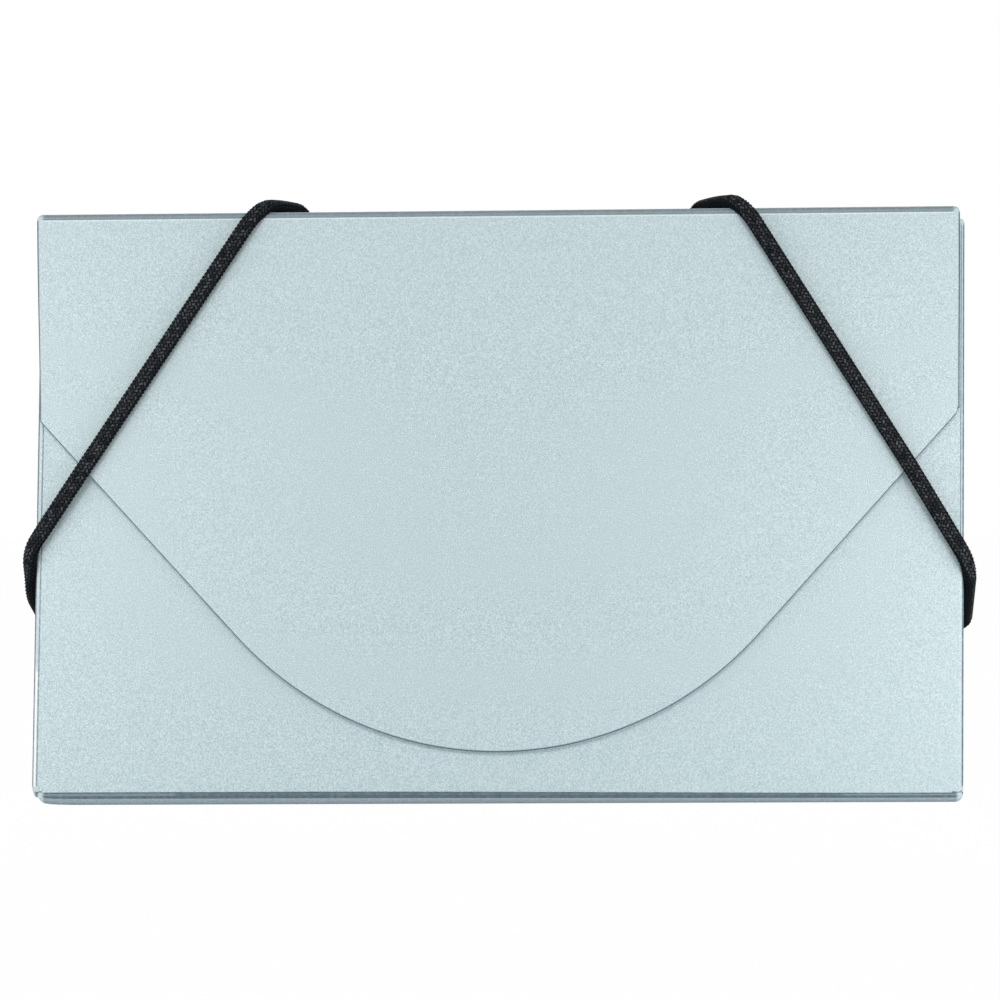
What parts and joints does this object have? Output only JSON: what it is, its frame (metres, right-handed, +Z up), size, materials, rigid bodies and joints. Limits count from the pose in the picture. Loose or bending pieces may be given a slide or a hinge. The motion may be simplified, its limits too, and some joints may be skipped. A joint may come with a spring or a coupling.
{
  "type": "business card holder",
  "caption": "Slim folded polypropylene case for business cards, with a round-tipped flap on living hinges held shut by elastic corner bands.",
  "frame": {"origin": "on the table under the middle of the standing case, halfway between the flap's front and the back panel's back", "axes": "+Z up along the card pocket, +X along the case's width, front flap towards -Y"},
  "size_m": [0.0966, 0.0118, 0.061],
  "materials": {
    "sheet": "pale silver-blue polypropylene, fine sand grain with a faint pearl",
    "cord": "black braided polyester over elastic",
    "crimp": "plated steel"
  },
  "bodies": {
    "case": {"back_panel": "sheet", "bottom_wall": "sheet", "front_panel": "sheet", "left_side_wall": "sheet", "right_side_wall": "sheet", "left_glue_tab": "sheet", "right_glue_tab": "sheet", "back_crease": "sheet", "left_top_bar": "crimp", "left_side_bar": "crimp", "right_top_bar": "crimp", "right_side_bar": "crimp"},
    "top": {"top_wall": "sheet", "front_crease": "sheet"},
    "flap": {"flap": "sheet"},
    "left_band": {"left_band": "cord"},
    "right_band": {"right_band": "cord"}
  },
  "joints": [
    {"name": "top_fold", "type": "hinge", "parent": "case", "child": "top", "pos_m": [0, 0.00392, 0.05887], "axis": [-1, 0, 0], "range_deg": [0, 90], "deforming": ["back_crease"]},
    {"name": "flap_fold", "type": "hinge", "parent": "top", "child": "flap", "pos_m": [0, -0.00392, 0.05887], "axis": [-1, 0, 0], "range_deg": [0, 90], "deforming": ["front_crease"]},
    {"name": "left_band_flip", "type": "hinge", "parent": "case", "child": "left_band", "pos_m": [-0.03105, 0.0051, 0.0365], "axis": [-0.5328, 0, -0.8463], "range_deg": [0, 175.5], "deforming": ["left_band"]},
    {"name": "right_band_flip", "type": "hinge", "parent": "case", "child": "right_band", "pos_m": [0.03105, 0.0051, 0.0365], "axis": [-0.5328, 0, 0.8463], "range_deg": [0, 175.5], "deforming": ["right_band"]}
  ],
  "couplings": [
    {"joint": "flap_fold", "follows": "top_fold", "ratio": 1},
    {"joint": "left_band_flip", "follows": "top_fold", "ratio": 1.95},
    {"joint": "right_band_flip", "follows": "top_fold", "ratio": 1.95}
  ]
}
